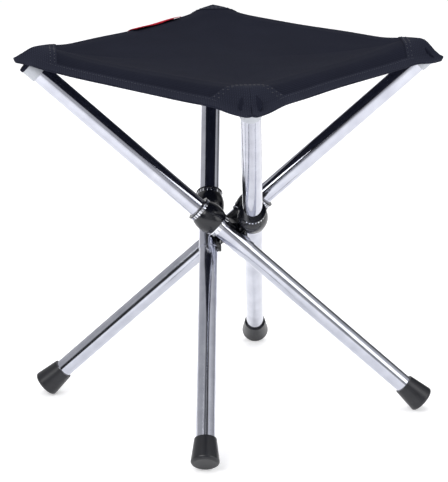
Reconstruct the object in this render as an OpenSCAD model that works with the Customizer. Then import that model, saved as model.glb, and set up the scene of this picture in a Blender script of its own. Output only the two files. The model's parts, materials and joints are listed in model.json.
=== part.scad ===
// Four-legged folding camp stool: telescopic tube legs that cross at a central hub,
// with a square cloth seat hung from the four leg tops.
// Origin: centre of the stool at floor level. +Z up. Each leg is drawn upright along
// its own axis, with its height counted from the waist, and then leant over.

/* [Legs] */
// Lean of each leg, up from the floor
leg_lean = 42; // [38:1:48]
// Distance of each leg's axis from the stool's centre line
hub_radius = 21.5; // [21.5:0.5:24]
// Waist to the top end of a leg
leg_above = 257; // [245:1:270]
// Waist to the middle of the sole
leg_below = 253; // [240:1:270]

/* [Tubes] */
// Outside diameter of the upper tube
tube_od = 19; // [18.5:0.1:19.5]
// Wall of the upper tube
tube_wall = 0.5; // [0.4:0.1:0.6]
// Radial play between the two tubes
tube_play = 0.08; // [0.05:0.01:0.1]
// Wall of the lower tube
inner_wall = 0.6; // [0.5:0.1:0.8]
// How far the upper tube reaches below the waist
tube_reach = 22; // [20:1:26]
// Top end of the lower tube above the waist when it is pulled out
inner_top = 16; // [10:1:22]

/* [Seat] */
// How far each corner of the seat reaches past the leg's end
corner_reach = 16.8; // [14:0.1:20]
// Thickness of the seat with its binding
seat_thick = 2.4; // [2:0.1:3]
// Length of each seat corner that lies over the leg's pocket
corner_cut = 38; // [38:1:44]
// Length of the sewn tab
label_length = 67; // [50:1:68]

/* [Feet and caps] */
// Radius of the sole
sole_radius = 13.5; // [12.5:0.5:14]
// Radius of the foot's upper rim
foot_rim_radius = 10.6; // [10.4:0.1:11.5]
// Height of the foot
foot_height = 25.5; // [24:0.5:27]
// Radius of the rounded edge of the sole
sole_round = 3; // [1:0.5:4]
// Radius of the grey cap at a leg's top
cap_radius = 10.5; // [10.4:0.1:11]
// Length of the grey cap
cap_length = 16; // [14:1:18]

/* [Knuckle] */
// Largest radius of the knuckle
knuckle_radius = 14.7; // [13.5:0.1:14.7]
// Bottom of the knuckle's barrel above the waist
knuckle_low = 17; // [16.5:0.5:18]
// Top of the knuckle's barrel above the waist
knuckle_high = 37.5; // [36:0.5:39]
// Radius of the curve of the barrel's side
knuckle_curve = 24; // [22:1:30]
// Radius of the thin flange over the knuckle
flange_radius = 12.8; // [12:0.1:13]

/* [Hub] */
// Half width of the square hub block
hub_half = 8.5; // [8.2:0.1:8.6]
// Height of the hub block
hub_height = 18; // [14:1:20]
// Radius of the pivot rivet's shank
rivet_radius = 2.5; // [2:0.1:2.5]

/* [Hidden] */
$fn = 96;

tube_r = tube_od / 2;
tube_bore_r = tube_r - tube_wall;
inner_r = tube_bore_r - tube_play;
inner_bore_r = inner_r - inner_wall;
snug = 0.02; // Play of a part that is pushed on a tube and stays there.
pivot_play = 0.05; // Radial play of a leg on its rivet.

// Height of the waist that puts the rounded edge of each sole on the floor.
waist_height = (leg_below - sole_round) * sin(leg_lean)
    + (sole_radius - sole_round) * cos(leg_lean) + sole_round;

sole_wall = 4; // Rubber under the end of the lower tube.
inner_bottom = -leg_below + sole_wall;
cap_end_wall = 2;
plug_depth = 8;
plug_head = 1.5;

barrel_steps = 10; // Straight steps along the barrel's curved side.
saddle_radius = 11.5;
saddle_bottom = -24;
lip_radius = 12.6; // Thick lower edge of the saddle.
lip_height = 5;
saddle_half_angle = 48;
saddle_base = saddle_radius * cos(saddle_half_angle) - 0.5; // Plane that the saddle's two side edges lie on.
boss_radius = 5.6;
boss_face = hub_radius - hub_half - 0.8;
head_radius = 4.4;
head_near = tube_r + 0.25;
head_thick = 1.2;
pocket_play = 0.3; // Room between the head and its counterbore.
washer_thick = 0.5;

wave_teeth = 26;
skirt_teeth = 8;
skirt_pitch = 30; // Angle between the teeth of the skirt.
skirt_gap = 0.3; // Room between the snap ring's ends and the saddle.
wave_low = knuckle_high;
wave_high = wave_low + 3.2;
flange_thick = 1.3;

pocket_wall = 1.6;
pocket_length = 10;
pocket_overhang = 3;

// The seat's corners turn a little from the stool's axes, because the legs pass beside the centre.
leg_out = leg_above * cos(leg_lean);
corner_turn = atan(hub_radius / leg_out);
seat_lift = 2; // Rise of the cloth over the middle of the leg's end.
seat_top = waist_height + leg_above * sin(leg_lean) + seat_lift;
corner_out = norm([leg_out, hub_radius]) + corner_reach;
panel_gap = 0.15; // Half of the slit between two panels.
tab_width = 12;
hem_width = 8; // Width of the turned edge of the seat.
tab_thick = 0.8;
tab_from_corner = 0.26; // Where the tab starts, as a share of the seat's side from its corner.

// Leg i leans about a line that points at the centre, and leg 1's pivot is at -Y.
module on_leg(i) {
    rotate([0, 0, -90 * (i - 1)])
        translate([0, -hub_radius, waist_height])
            rotate([0, leg_lean - 90, 0])
                children();
}

module ring(outer, inner, low, high) {
    translate([0, 0, low]) difference() {
        cylinder(r = outer, h = high - low);
        translate([0, 0, -1]) cylinder(r = inner, h = high - low + 2);
    }
}

// Square moulded block that carries the four pivots.
module hub_block() {
    color("#1d1d20")
    translate([0, 0, waist_height]) difference() {
        intersection() {
            cube([2 * hub_half, 2 * hub_half, hub_height], center = true);
            cylinder(r = hub_half * 1.25, h = hub_height, center = true);
        }
        for (i = [0:3]) rotate([0, 0, 90 * i])
            translate([0, -3, 0]) rotate([90, 0, 0]) cylinder(r = rivet_radius, h = hub_half);
    }
}

// Steel rivets: a shank fixed in the hub block and a flat head behind each tube.
module pivot_rivets() {
    head_out = hub_radius - head_near;
    color("#b9bcc2")
    translate([0, 0, waist_height])
        for (i = [0:3]) rotate([0, 0, 90 * i]) rotate([90, 0, 0]) {
            translate([0, 0, 3]) cylinder(r = rivet_radius, h = head_out - 3.2);
            translate([0, 0, head_out - head_thick]) cylinder(r = head_radius, h = head_thick);
        }
}

module pivot_washers() {
    color("#d4d6da")
    translate([0, 0, waist_height])
        for (i = [0:3]) rotate([0, 0, 90 * i]) rotate([90, 0, 0])
            ring(boss_radius - 0.6, rivet_radius + snug, hub_half + 0.02, hub_half + 0.02 + washer_thick);
}

// Upper, outer tube of a leg.
module outer_tube() {
    color("#c9ccd1") ring(tube_r, tube_bore_r, -tube_reach, leg_above - cap_end_wall);
}

// Radius of the barrel at a share of its height.
function barrel_r(share) =
    let (up = (share - 0.5) * (knuckle_high - knuckle_low))
    knuckle_radius - knuckle_curve + sqrt(pow(knuckle_curve, 2) - pow(up, 2));

// Barrel clamped round the tube, with a saddle that runs down its inner side to the pivot.
module knuckle() {
    color("#26262b")
    difference() {
        union() {
            rotate_extrude() polygon(concat(
                [[0, knuckle_high], [0, knuckle_low]],
                [for (k = [0:barrel_steps])
                    [barrel_r(k / barrel_steps), knuckle_low + (knuckle_high - knuckle_low) * k / barrel_steps]]
            ));
            intersection() {
                union() {
                    translate([0, 0, saddle_bottom - 1])
                        cylinder(r = saddle_radius, h = knuckle_low - saddle_bottom + 3);
                    translate([0, 0, saddle_bottom - 1]) cylinder(r = lip_radius, h = lip_height + 1);
                }
                saddle_window();
            }
            rotate([-90, 0, 0]) translate([0, 0, tube_r - 2]) cylinder(r = boss_radius, h = boss_face - tube_r + 2);
        }
        translate([0, 0, saddle_bottom - 2])
            cylinder(r = tube_r + snug, h = knuckle_high - saddle_bottom + 3);
        rotate([-90, 0, 0]) cylinder(r = rivet_radius + pivot_play, h = boss_face + 1);
        rotate([-90, 0, 0]) cylinder(r = head_radius + pocket_play, h = head_near + head_thick + pocket_play);
    }
}

// Window with a round lower end that limits how far the saddle wraps round the tube.
module saddle_window() {
    half_width = saddle_radius * sin(saddle_half_angle);
    rotate([-90, 0, 0]) translate([0, 0, saddle_base])
        linear_extrude(saddle_radius) union() {
            translate([-half_width, -knuckle_low - 1]) square([2 * half_width, knuckle_low + 1 - saddle_bottom - half_width]);
            translate([0, -saddle_bottom - half_width]) circle(r = half_width);
        }
}

// Plated snap ring under the barrel, open where the saddle passes, with a short toothed skirt.
module lower_ring() {
    top = knuckle_low - 0.02;
    color("#d8dade")
    difference() {
        union() {
            ring(knuckle_radius - 2, tube_r + snug, top - 1.1, top);
            ring(tube_r + 0.7, tube_r + snug, top - 5, top - 1);
            for (i = [0:skirt_teeth - 1]) rotate([0, 0, (0.5 - i) * skirt_pitch])
                translate([tube_r + 0.3, -1.1, top - 5]) cube([1.3, 2.2, 4.5]);
        }
        translate([-knuckle_radius, saddle_base - skirt_gap, top - 6])
            cube([2 * knuckle_radius, knuckle_radius, 7]);
    }
}

// Plated ring with a row of teeth, between the barrel and the flange.
module wave_ring() {
    color("#e2e4e8") {
        ring(tube_r + 1.5, tube_r + snug, wave_low + 0.02, wave_high - 0.02);
        for (i = [0:wave_teeth - 1]) rotate([0, 0, i * 360 / wave_teeth])
            translate([tube_r + 1.3, -0.75, wave_low + 0.02]) cube([1.6, 1.5, wave_high - wave_low - 0.04]);
    }
}

module flange_ring() {
    color("#202024") ring(flange_radius, tube_r + snug, wave_high, wave_high + flange_thick);
}

// Grey plastic cap that closes the leg's top end.
module top_cap() {
    low = leg_above - cap_length;
    round_r = 2.5;
    color("#b4b8bd")
    difference() {
        rotate_extrude() union() {
            translate([0, low]) square([cap_radius, cap_length - round_r]);
            translate([0, low]) square([cap_radius - round_r, cap_length]);
            translate([cap_radius - round_r, leg_above - round_r]) intersection() {
                circle(r = round_r, $fn = 48);
                square(round_r);
            }
        }
        translate([0, 0, low - 1])
            cylinder(r = tube_r + snug, h = cap_length + 1 - cap_end_wall + snug);
    }
}

// Cloth sleeve, sewn under a corner of the seat, that the leg's top end sits in.
module corner_pocket() {
    inner = cap_radius + 0.1;
    top = leg_above + pocket_overhang;
    color("#23252f")
    difference() {
        translate([0, 0, top - pocket_length]) cylinder(r = inner + pocket_wall, h = pocket_length);
        translate([0, 0, top - pocket_length - 1]) cylinder(r = inner, h = pocket_length + 1 - pocket_overhang + 0.1);
    }
}

// Lower tube, which slides up inside the upper one.
module inner_tube() {
    color("#cdd0d5") ring(inner_r, inner_bore_r, inner_bottom, inner_top);
}

// Plastic plug in the lower tube's top end that keeps it straight in the upper one.
module glide_plug() {
    color("#303036") {
        translate([0, 0, inner_top + 0.02]) cylinder(r = inner_r, h = plug_head);
        translate([0, 0, inner_top - plug_depth]) cylinder(r = inner_bore_r - snug, h = plug_depth + 0.1);
    }
}

// Tapered rubber foot with a rounded sole.
module foot() {
    color("#1f2025")
    difference() {
        rotate_extrude() union() {
            polygon([
                [0, -leg_below + sole_round], [sole_radius, -leg_below + sole_round],
                [foot_rim_radius, -leg_below + foot_height], [0, -leg_below + foot_height]
            ]);
            translate([0, -leg_below]) square([sole_radius - sole_round, sole_round]);
            translate([sole_radius - sole_round, -leg_below + sole_round]) intersection() {
                circle(r = sole_round, $fn = 48);
                translate([0, -sole_round]) square(sole_round);
            }
        }
        translate([0, 0, inner_bottom - snug]) cylinder(r = inner_r + snug, h = foot_height + 1);
    }
}

// One eighth of the seat: the part beside corner i, on the side given by hand (1 or -1).
module seat_panel(i, hand) {
    far = corner_out - corner_cut;
    color("#22242e")
    rotate([0, 0, 180 + corner_turn - 90 * (i - 1)])
        translate([0, 0, seat_top - seat_thick])
            linear_extrude(seat_thick) polygon([
                [panel_gap * 2.5, hand * panel_gap],
                [far, hand * panel_gap],
                [far, hand * (corner_cut - panel_gap)],
                [corner_out / 2 + panel_gap, hand * (corner_out / 2 - 2 * panel_gap)]
            ]);
}

// Plain red tab sewn to the hem between corners 1 and 2, near corner 2, and lying on the seat.
module seat_tab() {
    side = corner_out * sqrt(2);
    color("#b3202c")
    rotate([0, 0, 180 + corner_turn - 90])
        translate([corner_out, 0, seat_top + 0.1])
            rotate([0, 0, 135])
                translate([tab_from_corner * side, hem_width, 0])
                    cube([label_length, tab_width, tab_thick]);
}

hub_block();
pivot_rivets();
pivot_washers();
for (i = [1:4]) {
    on_leg(i) outer_tube();
    on_leg(i) knuckle();
    on_leg(i) lower_ring();
    on_leg(i) wave_ring();
    on_leg(i) flange_ring();
    on_leg(i) top_cap();
    on_leg(i) corner_pocket();
    on_leg(i) inner_tube();
    on_leg(i) glide_plug();
    on_leg(i) foot();
    seat_panel(i, -1);
    seat_panel(i, 1);
}
seat_tab();
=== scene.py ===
"""Camp stool: polished tube legs, moulded knuckles, rubber feet and a sewn cloth seat."""
import bpy
import bmesh
import json
import math
from mathutils import Matrix, Vector


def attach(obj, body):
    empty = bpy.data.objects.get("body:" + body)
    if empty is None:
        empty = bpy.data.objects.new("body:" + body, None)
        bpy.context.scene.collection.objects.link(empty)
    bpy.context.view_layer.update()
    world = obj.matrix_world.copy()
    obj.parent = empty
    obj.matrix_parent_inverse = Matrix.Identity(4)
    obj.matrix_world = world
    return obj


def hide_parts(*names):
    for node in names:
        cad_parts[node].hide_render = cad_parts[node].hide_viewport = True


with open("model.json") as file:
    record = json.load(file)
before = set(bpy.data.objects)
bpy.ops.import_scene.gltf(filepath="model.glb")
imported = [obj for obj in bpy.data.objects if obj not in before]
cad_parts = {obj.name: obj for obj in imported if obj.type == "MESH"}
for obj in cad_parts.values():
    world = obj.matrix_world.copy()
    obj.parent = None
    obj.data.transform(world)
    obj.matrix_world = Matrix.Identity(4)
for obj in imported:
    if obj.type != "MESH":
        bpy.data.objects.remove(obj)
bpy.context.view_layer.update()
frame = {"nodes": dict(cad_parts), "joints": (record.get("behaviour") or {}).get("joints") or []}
MM = 0.001
JOINTS = {j["name"]: j for j in frame["joints"]}
LEGS = (1, 2, 3, 4)
SIDES = {"a": -1, "b": 1}

# ---------------------------------------------------------------- camera

def place_camera():
    """A long lens, a little above the seat, with one corner of the seat towards it."""
    azimuth, elevation, roll = math.radians(1.264), math.radians(17.106), math.radians(-0.399)
    distance, target = 2.424, Vector((0, 0, 0.1662))
    back = Vector((math.sin(azimuth) * math.cos(elevation),
                   -math.cos(azimuth) * math.cos(elevation), math.sin(elevation)))
    right = (-back).cross(Vector((0, 0, 1))).normalized()
    up = right.cross(-back)
    data = bpy.data.cameras.new("camera")
    camera = bpy.data.objects.new("camera", data)
    bpy.context.scene.collection.objects.link(camera)
    data.sensor_width = 36
    data.lens = 185.8
    rolled_right = math.cos(roll) * right + math.sin(roll) * up
    rolled_up = -math.sin(roll) * right + math.cos(roll) * up
    turn = Matrix((rolled_right, rolled_up, back)).transposed()
    place = target + distance * back - 6.83 * MM * right
    camera.matrix_world = Matrix.Translation(place) @ turn.to_4x4()
    bpy.context.scene.camera = camera
    bpy.context.scene.view_settings.view_transform = "Standard"


place_camera()

# ---------------------------------------------------------------- shapes

def corner_of(i):
    """The point of the seat's corner i, where its panels turn on the leg."""
    return Vector(JOINTS[f"seat_fold_{i}a"]["pos_m"])


SEAT_Z = corner_of(1).z
CORNER_OUT = corner_of(1).to_2d().length
CORNER_ANGLE = math.atan2(corner_of(1).y, corner_of(1).x)
SIDE = CORNER_OUT * math.sqrt(2)
SEAM = 165 * MM  # Straight seam of each corner patch, from the middle of the seat.
HEM = 8 * MM  # Width of the turned and sewn edge.
CLOTH = 1.0 * MM  # Thickness of the cloth.
PATCH = 0.9 * MM  # Thickness of a corner patch, and its height over the cloth.
HEM_THICK = 3.0 * MM
GRID = 116
ROUND = 9 * MM  # Radius of the seat's corners.
EDGE_Z = 6.4 * MM  # Height of the taut edge over the panels' middle plane.
CORNER_RISE = 1.6 * MM  # How much higher the cloth is in line with a corner.
MIDDLE_Z = -2.5 * MM  # The dished middle of the seat.
HEM_Z = -5 * MM  # Lower line of the hem.
HOOD_RISE = 3.0 * MM  # The hood that each leg's end pushes up.
HOOD_FALL = 7.0 * MM  # How far a hood falls at its tip.
HOOD_WIDTH = 26 * MM
LEFT_TAUT = 6.0 * MM  # How much less the hood of corner 1 falls.
LEFT_LIFT = 3.5 * MM  # How much higher the hem is at corner 1.
STITCH = (2.4 * MM, 0.7 * MM, 0.56 * MM)
STITCH_STEP = 3.6 * MM


def smooth(x, low, high):
    t = min(max((x - low) / (high - low), 0), 1)
    return t * t * (3 - 2 * t)


def in_seat(x, y):
    """The point in the seat's own axes, which run from the middle to corners 1 and 4."""
    c, s = math.cos(CORNER_ANGLE), math.sin(CORNER_ANGLE)
    return x * c + y * s, -x * s + y * c


def seat_height(x, y):
    """Height of the taut cloth: dished in the middle, level at its edges, and hooded at the legs."""
    u, v = in_seat(x, y)
    along, across = max(abs(u), abs(v)), min(abs(u), abs(v))
    ring = along + across
    crease = EDGE_Z + CORNER_RISE * (1 - min(across / (SEAM / 2), 1)) ** 2
    if ring < SEAM:
        base = MIDDLE_Z + (crease - MIDDLE_Z) * (ring / SEAM) ** 2.6
    else:
        base = crease - (crease - HEM_Z) * smooth(ring, 0.180, 0.212)
    climb = HOOD_RISE * smooth(along, 0.135, 0.184)
    fall = (HOOD_FALL - LEFT_TAUT * smooth(u, 0.10, 0.15)) * smooth(ring, 0.186, 0.203)
    hood = (climb - fall) * math.exp(-(across / HOOD_WIDTH) ** 4)
    lift = LEFT_LIFT * smooth(u, 0.08, 0.19) * smooth(ring, 0.15, 0.205)
    pull = 0.175 * MM * math.sin(ring / 0.0093 + 2.1 * math.sin(across / 0.021)) * smooth(ring, 0.05, 0.17)
    ripple = 0.5 * MM * math.sin(u / 0.031 + 1.3) * math.sin(v / 0.027 + 0.4)
    return SEAT_Z + base + hood + pull + ripple + lift


def deselect():
    if bpy.context.object and bpy.context.object.mode != "OBJECT":
        bpy.ops.object.mode_set(mode="OBJECT")
    bpy.ops.object.select_all(action="DESELECT")


def activate(piece):
    deselect()
    piece.select_set(True)
    bpy.context.view_layer.objects.active = piece


def apply_modifier(piece, kind, **settings):
    activate(piece)
    modifier = piece.modifiers.new(kind.lower(), kind)
    for name, value in settings.items():
        setattr(modifier, name, value)
    bpy.ops.object.modifier_apply(modifier=modifier.name)


def blank_cloth():
    """A flat square of cloth, on the seat's own axes, at the seat's height."""
    deselect()
    bpy.ops.mesh.primitive_grid_add(x_subdivisions=GRID, y_subdivisions=GRID, size=SIDE,
                                    rotation=(0, 0, CORNER_ANGLE + math.pi / 4))
    cloth = bpy.context.object
    cloth.name = "cloth"
    for vertex in cloth.data.vertices:
        x, y = vertex.co.x, vertex.co.y
        p, q = ((abs(n) - SIDE / 2 + ROUND) / ROUND for n in (x, y))
        if p > 0 and q > 0:
            vertex.co.x -= math.copysign(ROUND * p * (1 - math.sqrt(1 - q * q / 2)), x)
            vertex.co.y -= math.copysign(ROUND * q * (1 - math.sqrt(1 - p * p / 2)), y)
    bpy.ops.object.transform_apply(location=True, rotation=True, scale=True)
    return cloth


def keep_side(piece, point, outward):
    """Cuts the mesh by a plane and drops what lies outward of it."""
    activate(piece)
    bpy.ops.object.mode_set(mode="EDIT")
    bpy.ops.mesh.select_all(action="SELECT")
    bpy.ops.mesh.bisect(plane_co=point, plane_no=outward, clear_outer=True)
    bpy.ops.object.mode_set(mode="OBJECT")


def turned(angle):
    return Vector((math.cos(angle), math.sin(angle), 0))


def corner_angle(i):
    return CORNER_ANGLE - math.pi / 2 * (i - 1)


def cut_panel(cloth, name, i, side):
    """A copy of the cloth, cut to the eighth beside corner i."""
    activate(cloth)
    bpy.ops.object.duplicate()
    piece = bpy.context.object
    piece.name = name
    spine = corner_angle(i)
    keep_side(piece, (0, 0, 0), turned(spine - side * math.pi / 2))
    keep_side(piece, (0, 0, 0), turned(spine + side * (math.pi / 4 + math.pi / 2)))
    return piece


def drape(piece, lift=0.0):
    for vertex in piece.data.vertices:
        x, y, _ = vertex.co
        vertex.co.z = seat_height(x, y) + lift
    piece.data.update()


def finish_cloth(piece, thickness):
    apply_modifier(piece, "SOLIDIFY", thickness=thickness, offset=0.0, use_even_offset=False)
    activate(piece)
    bpy.ops.object.shade_smooth_by_angle(angle=math.radians(50))


def edge_outward(i, side):
    return turned(corner_angle(i) + side * math.pi / 4)


def stitch_row(points, low):
    """Places for short raised stitches along the straight line between two points of the seat."""
    start, end = (Vector((*p, 0)) for p in points)
    line = end - start
    count = int(line.length / STITCH_STEP)
    angle = math.atan2(line.y, line.x)
    rows = []
    for n in range(count):
        at = start + line * ((n + 0.5) / count)
        rows.append((at.x, at.y, seat_height(at.x, at.y) + low, angle))
    return rows


def make_stitches(name, rows):
    """One mesh of many small rounded stitches."""
    deselect()
    bpy.ops.mesh.primitive_cube_add(size=1)
    stitch = bpy.context.object
    apply_modifier(stitch, "BEVEL", width=0.22, segments=1)
    shape = bmesh.new()
    template = stitch.data
    for x, y, z, angle in rows:
        place = (Matrix.Translation((x, y, z)) @ Matrix.Rotation(angle, 4, "Z")
                 @ Matrix.Diagonal((*STITCH, 1)))
        copy = template.copy()
        copy.transform(place)
        shape.from_mesh(copy)
        bpy.data.meshes.remove(copy)
    mesh = bpy.data.meshes.new(name)
    shape.to_mesh(mesh)
    shape.free()
    bpy.data.objects.remove(stitch)
    piece = bpy.data.objects.new(name, mesh)
    bpy.context.scene.collection.objects.link(piece)
    return piece


def make_seat_eighth(cloth, i, letter):
    """The cloth, corner patch, hem and stitching beside corner i."""
    side, name = SIDES[letter], f"{i}{letter}"
    body = f"panel_{name}"
    spine, edge = turned(corner_angle(i)), edge_outward(i, side)
    edge_out = CORNER_OUT / math.sqrt(2)
    panel = cut_panel(cloth, f"seat_cloth_{name}", i, side)
    hem = cut_panel(cloth, f"seat_hem_{name}", i, side)
    keep_side(hem, edge * (edge_out - HEM), -edge)
    patch = cut_panel(cloth, f"corner_patch_{name}", i, side)
    keep_side(patch, spine * SEAM, -spine)
    keep_side(patch, edge * (edge_out - HEM * 0.8), edge)
    drape(panel)
    drape(hem)
    drape(patch, PATCH)
    finish_cloth(panel, CLOTH)
    finish_cloth(hem, HEM_THICK)
    finish_cloth(patch, PATCH)
    edge_line = edge * (edge_out - HEM * 0.72)
    along = turned(corner_angle(i) + side * (math.pi / 4 - math.pi / 2))
    rows = stitch_row((edge_line.to_2d(), (edge_line + along * (edge_out - HEM)).to_2d()), 1.5 * MM)
    for inset in (2.2 * MM, 6.0 * MM):
        seam = spine * (SEAM + inset)
        reach = turned(corner_angle(i) + side * math.pi / 2) * (CORNER_OUT - SEAM - HEM * 1.6)
        rows += stitch_row((seam.to_2d(), (seam + reach).to_2d()), 1.35 * MM)
    stitches = make_stitches(f"seat_stitches_{name}", rows)
    for piece in (panel, hem, patch, stitches):
        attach(piece, body)
    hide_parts(f"seat_panel_{name}")
    extras = [hem, patch, stitches]
    half = SIDE / 2
    return panel, extras, half


def make_tab():
    """A flat ribbon that lies on the seat just inside the hem, and curls up a little along its free edge."""
    length, width = 67 * MM, 12 * MM
    start_share, inset = 0.26, HEM * 1.7
    corner = corner_of(2).to_2d()
    towards = (corner_of(1).to_2d() - corner).normalized()
    inward = -(corner + corner_of(1).to_2d()).normalized()
    deselect()
    bpy.ops.mesh.primitive_grid_add(x_subdivisions=36, y_subdivisions=8, size=1)
    tab = bpy.context.object
    tab.name = "red_tab"
    for vertex in tab.data.vertices:
        x, y = vertex.co.x + 0.5, vertex.co.y + 0.5
        at = corner + towards * (start_share * SIDE + x * length) + inward * (inset + y * width)
        curl = 1.6 * MM * y * y + 0.5 * MM * math.sin(x * 9) * y
        vertex.co = (at.x, at.y, seat_height(at.x, at.y) + 1.2 * MM + curl)
    finish_cloth(tab, 0.6 * MM)
    activate(tab)
    bpy.ops.object.mode_set(mode="EDIT")
    bpy.ops.mesh.select_all(action="SELECT")
    bpy.ops.mesh.normals_make_consistent(inside=False)
    bpy.ops.object.mode_set(mode="OBJECT")
    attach(tab, "panel_2b")
    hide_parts("seat_tab")
    return tab


def leg_frame(i):
    """A leg's own axes: its height along Z, from the waist."""
    along = Vector(JOINTS[f"leg_slide_{i}"]["axis"])
    inward = Vector(JOINTS[f"leg_fold_{i}"]["axis"])
    aside = inward.cross(along)
    turn = Matrix((aside, inward, along)).transposed().to_4x4()
    return Matrix.Translation(JOINTS[f"leg_fold_{i}"]["pos_m"]) @ turn


def make_sleeve(i):
    """Cloth cup under a corner of the seat, over the end of the leg."""
    cap, upright = frame["nodes"][f"top_cap_{i}"], leg_frame(i).inverted()
    leg_end = max((upright @ cap.matrix_world @ v.co).z for v in cap.data.vertices)
    deselect()
    bpy.ops.mesh.primitive_cylinder_add(vertices=64, radius=10.9 * MM, depth=4 * MM,
                                        location=(0, 0, leg_end - 1.2 * MM))
    sleeve = bpy.context.object
    sleeve.name = f"corner_sleeve_{i}"
    bpy.ops.object.transform_apply(location=True, rotation=True, scale=True)
    apply_modifier(sleeve, "BEVEL", width=1.2 * MM, segments=4, limit_method="ANGLE")
    activate(sleeve)
    bpy.ops.object.shade_smooth_by_angle(angle=math.radians(40))
    sleeve.data.transform(leg_frame(i))
    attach(sleeve, f"leg_{i}")
    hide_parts(f"corner_pocket_{i}")
    return sleeve

# ---------------------------------------------------------------- materials

def linear(colour):
    values = [int(colour[n:n + 2], 16) / 255 for n in (1, 3, 5)]
    return (*((c / 12.92 if c <= 0.04045 else ((c + 0.055) / 1.055) ** 2.4) for c in values), 1)


def add(nodes, kind, links=(), **settings):
    """Adds a node, sets its values and joins its inputs. A name with a leading _ is a property."""
    node = nodes.new(kind)
    for name, value in settings.items():
        if name.startswith("_"):
            setattr(node, name[1:], value)
        else:
            node.inputs[name.replace("__", " ")].default_value = value
    for source, target in links:
        nodes.id_data.links.new(source, node.inputs[target])
    return node


def new_material(name, **values):
    material = bpy.data.materials.new(name)
    material.use_nodes = True
    nodes = material.node_tree.nodes
    shader = nodes["Principled BSDF"]
    for key, value in values.items():
        shader.inputs[key.replace("__", " ")].default_value = value
    return material, nodes, shader


def polished_steel(name, colour, roughness):
    """Bright-drawn stainless tube, buffed along its length: mirror-like, with soft fine streaks."""
    material, nodes, shader = new_material(name, Metallic=1.0)
    place = add(nodes, "ShaderNodeTexCoord")
    cloud = add(nodes, "ShaderNodeTexNoise", [(place.outputs["Object"], "Vector")], Scale=60.0, Detail=4.0)
    rough = add(nodes, "ShaderNodeMapRange", [(cloud.outputs["Fac"], "Value")],
                **{"To__Min": roughness * 0.8, "To__Max": roughness * 1.5})
    tint = add(nodes, "ShaderNodeMix", [(cloud.outputs["Fac"], "Factor")], _data_type="RGBA")
    tint.inputs[6].default_value = linear(colour)
    tint.inputs[7].default_value = linear("#CFD1DA")
    links = material.node_tree.links
    links.new(rough.outputs["Result"], shader.inputs["Roughness"])
    links.new(tint.outputs[2], shader.inputs["Base Color"])
    return material


def moulded(name, colour, pale, roughness, grain_mm, depth):
    """Moulded plastic or rubber: an even colour with a fine spark-eroded grain."""
    material, nodes, shader = new_material(name)
    place = add(nodes, "ShaderNodeTexCoord")
    grain = add(nodes, "ShaderNodeTexNoise", [(place.outputs["Object"], "Vector")],
                Scale=1000 / grain_mm, Detail=2.0)
    cloud = add(nodes, "ShaderNodeTexNoise", [(place.outputs["Object"], "Vector")], Scale=90.0, Detail=3.0)
    bump = add(nodes, "ShaderNodeBump", [(grain.outputs["Fac"], "Height")], Strength=0.35, Distance=depth)
    rough = add(nodes, "ShaderNodeMapRange", [(cloud.outputs["Fac"], "Value")],
                **{"To__Min": roughness * 0.85, "To__Max": roughness * 1.25})
    tint = add(nodes, "ShaderNodeMix", [(cloud.outputs["Fac"], "Factor")], _data_type="RGBA")
    tint.inputs[6].default_value = linear(colour)
    tint.inputs[7].default_value = linear(pale)
    links = material.node_tree.links
    links.new(bump.outputs["Normal"], shader.inputs["Normal"])
    links.new(rough.outputs["Result"], shader.inputs["Roughness"])
    links.new(tint.outputs[2], shader.inputs["Base Color"])
    return material


def oxford_cloth(name, colour, pale, thread_mm=1.5, slant=0.0):
    """Coated oxford weave: dull threads whose crests, mottled by noise, are painted paler as a faint slanted
    sheen (a painted highlight on the thread pattern).
    The real threads are about 0.5 mm apart, and are drawn coarser so that they show."""
    material, nodes, shader = new_material(name, Roughness=0.8, Specular__IOR__Level=0.05)
    place = add(nodes, "ShaderNodeTexCoord")
    turn = add(nodes, "ShaderNodeMapping", [(place.outputs["Object"], "Vector")],
               Rotation=(0, 0, -(CORNER_ANGLE + math.pi / 4 + slant)))
    bands = []
    for axis in ("X", "Y"):
        wave = add(nodes, "ShaderNodeTexWave", [(turn.outputs["Vector"], "Vector")], _bands_direction=axis,
                   Scale=2 * math.pi / (20 * thread_mm * MM), Distortion=0.6)
        bands.append(wave.outputs["Fac"])
    weave = add(nodes, "ShaderNodeMath", [(bands[0], 0), (bands[1], 1)], _operation="MULTIPLY")
    cloud = add(nodes, "ShaderNodeTexNoise", [(place.outputs["Object"], "Vector")], Scale=26.0, Detail=5.0)
    painted_weave_sheen = add(nodes, "ShaderNodeMath", [(weave.outputs[0], 0), (cloud.outputs["Fac"], 1)],
               _operation="MULTIPLY")
    # Painted sheen: the weave's crests, mottled by noise, are mixed towards the pale colour in place of
    # light catching the threads.
    tint = add(nodes, "ShaderNodeMix", [(painted_weave_sheen.outputs[0], "Factor")], _data_type="RGBA")
    tint.inputs[6].default_value = linear(colour)
    tint.inputs[7].default_value = linear(pale)
    bump = add(nodes, "ShaderNodeBump", [(weave.outputs[0], "Height")], Strength=0.5, Distance=0.25 * MM)
    links = material.node_tree.links
    links.new(bump.outputs["Normal"], shader.inputs["Normal"])
    links.new(tint.outputs[2], shader.inputs["Base Color"])
    return material


def paint(piece, material):
    piece.data.materials.clear()
    piece.data.materials.append(material)


def repaint_node(node, material):
    shape = frame["nodes"][node]
    for place in shape.material_slots:
        place.material = material


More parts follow.
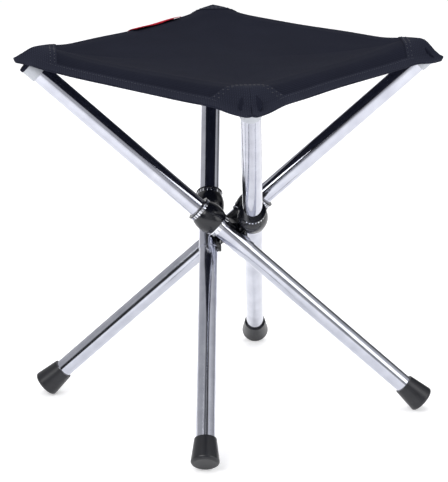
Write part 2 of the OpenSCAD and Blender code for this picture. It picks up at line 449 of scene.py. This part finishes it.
def build():
    # The second colour of each cloth is the painted sheen on the crests of its weave.
    cloth_finish = oxford_cloth("coated_oxford_cloth", "#141621", "#262938")
    patch_finish = oxford_cloth("patch_oxford_cloth", "#1D1F2A", "#363947", 1.9, math.pi / 4)
    thread_finish = moulded("sewing_thread", "#23252E", "#34363F", 0.6, 0.5, 0.1 * MM)
    tab_finish = oxford_cloth("ribbon_red", "#A01728", "#D93A50", 1.2)
    upper = polished_steel("polished_stainless_upper", "#A6A8B4", 0.09)
    lower = polished_steel("polished_stainless_lower", "#A2A5B1", 0.11)
    plated = polished_steel("bright_nickel_plate", "#DCDDE0", 0.08)
    rivet = polished_steel("zinc_plated_steel", "#A9ABB0", 0.3)
    nylon = moulded("moulded_black_nylon", "#0A0B11", "#14161E", 0.2, 0.5, 0.05 * MM)
    rubber = moulded("moulded_rubber", "#0A0B11", "#13151D", 0.33, 0.6, 0.08 * MM)
    cap = moulded("satin_grey_abs", "#A2A6AD", "#B8BBC2", 0.42, 0.5, 0.04 * MM)
    blank = blank_cloth()
    for i in LEGS:
        for letter in SIDES:
            panel, extras, half = make_seat_eighth(blank, i, letter)
            hem, patch, stitches = extras
            paint(panel, cloth_finish)
            paint(hem, patch_finish)
            paint(patch, patch_finish)
            paint(stitches, thread_finish)
            if f"{i}{letter}" == "2b":
                tab = make_tab()
                paint(tab, tab_finish)
                extras.append(tab)
        paint(make_sleeve(i), cloth_finish)
        repaint_node(f"outer_tube_{i}", upper)
        repaint_node(f"inner_tube_{i}", lower)
        repaint_node(f"lower_ring_{i}", plated)
        repaint_node(f"wave_ring_{i}", plated)
        repaint_node(f"knuckle_{i}", nylon)
        repaint_node(f"flange_ring_{i}", nylon)
        repaint_node(f"glide_plug_{i}", nylon)
        repaint_node(f"top_cap_{i}", cap)
        repaint_node(f"foot_{i}", rubber)
    bpy.data.objects.remove(blank)
    repaint_node("hub_block", nylon)
    repaint_node("pivot_rivets", rivet)
    repaint_node("pivot_washers", rivet)


build()

# ---------------------------------------------------------------- stage

def make_floor():
    deselect()
    bpy.ops.mesh.primitive_plane_add(size=12)
    floor = bpy.context.object
    floor.name = "floor"
    material, nodes, shader = new_material("floor_white", Roughness=0.6, Emission__Strength=0.38,
                                           Emission__Color=(1, 1, 1, 1))
    shader.inputs["Base Color"].default_value = linear("#FBFBFC")
    paint(floor, material)


def add_light(name, place, aim, width, height, power):
    data = bpy.data.lights.new(name, "AREA")
    data.shape = "RECTANGLE"
    data.size, data.size_y, data.energy = width, height, power
    light = bpy.data.objects.new(name, data)
    bpy.context.scene.collection.objects.link(light)
    light.location = place
    light.rotation_euler = (Vector(aim) - Vector(place)).to_track_quat("-Z", "Y").to_euler()


def make_world():
    """Pale grey studio with a few dark strips round it, which the polished tubes mirror as dark lines."""
    world = bpy.data.worlds.new("studio")
    bpy.context.scene.world = world
    world.use_nodes = True
    nodes, links = world.node_tree.nodes, world.node_tree.links
    nodes.clear()
    place = add(nodes, "ShaderNodeTexCoord")
    turn = add(nodes, "ShaderNodeSeparateXYZ", [(place.outputs["Generated"], 0)])
    angle = add(nodes, "ShaderNodeMath", [(turn.outputs["Y"], 0), (turn.outputs["X"], 1)],
                _operation="ARCTAN2")
    share = add(nodes, "ShaderNodeMapRange", [(angle.outputs[0], "Value")],
                **{"From__Min": -math.pi, "From__Max": math.pi})
    ramp = add(nodes, "ShaderNodeValToRGB", [(share.outputs["Result"], "Fac")])
    stops = [(0.0, 0.55), (0.10, 0.6), (0.13, 0.04), (0.19, 0.04), (0.22, 0.85), (0.33, 0.5), (0.36, 0.06),
             (0.42, 0.06), (0.45, 0.95), (0.58, 0.5), (0.61, 0.1), (0.66, 0.1), (0.70, 0.5), (0.9, 0.65),
             (1.0, 0.55)]
    points = ramp.color_ramp.elements
    while len(points) < len(stops):
        points.new(0.5)
    for point, (at, level) in zip(points, stops):
        point.position = at
        point.color = (level, level, level * 1.02, 1)
    seen = add(nodes, "ShaderNodeLightPath")
    studio = add(nodes, "ShaderNodeBackground", [(ramp.outputs["Color"], "Color")], Strength=1.0)
    plain = add(nodes, "ShaderNodeBackground", Color=(1, 1, 1, 1), Strength=1.0)
    mix = add(nodes, "ShaderNodeMixShader", [(seen.outputs["Is Camera Ray"], 0), (studio.outputs[0], 1),
                                            (plain.outputs[0], 2)])
    add(nodes, "ShaderNodeOutputWorld", [(mix.outputs[0], "Surface")])


make_floor()
make_world()
add_light("key", (-0.9, -1.3, 1.6), (0, 0, 0.2), 1.2, 1.2, 22)
add_light("fill", (1.4, -0.9, 0.9), (0, 0, 0.2), 0.9, 1.4, 10)
add_light("top", (0.2, 0.6, 1.9), (0, 0, 0.3), 1.4, 1.0, 16)
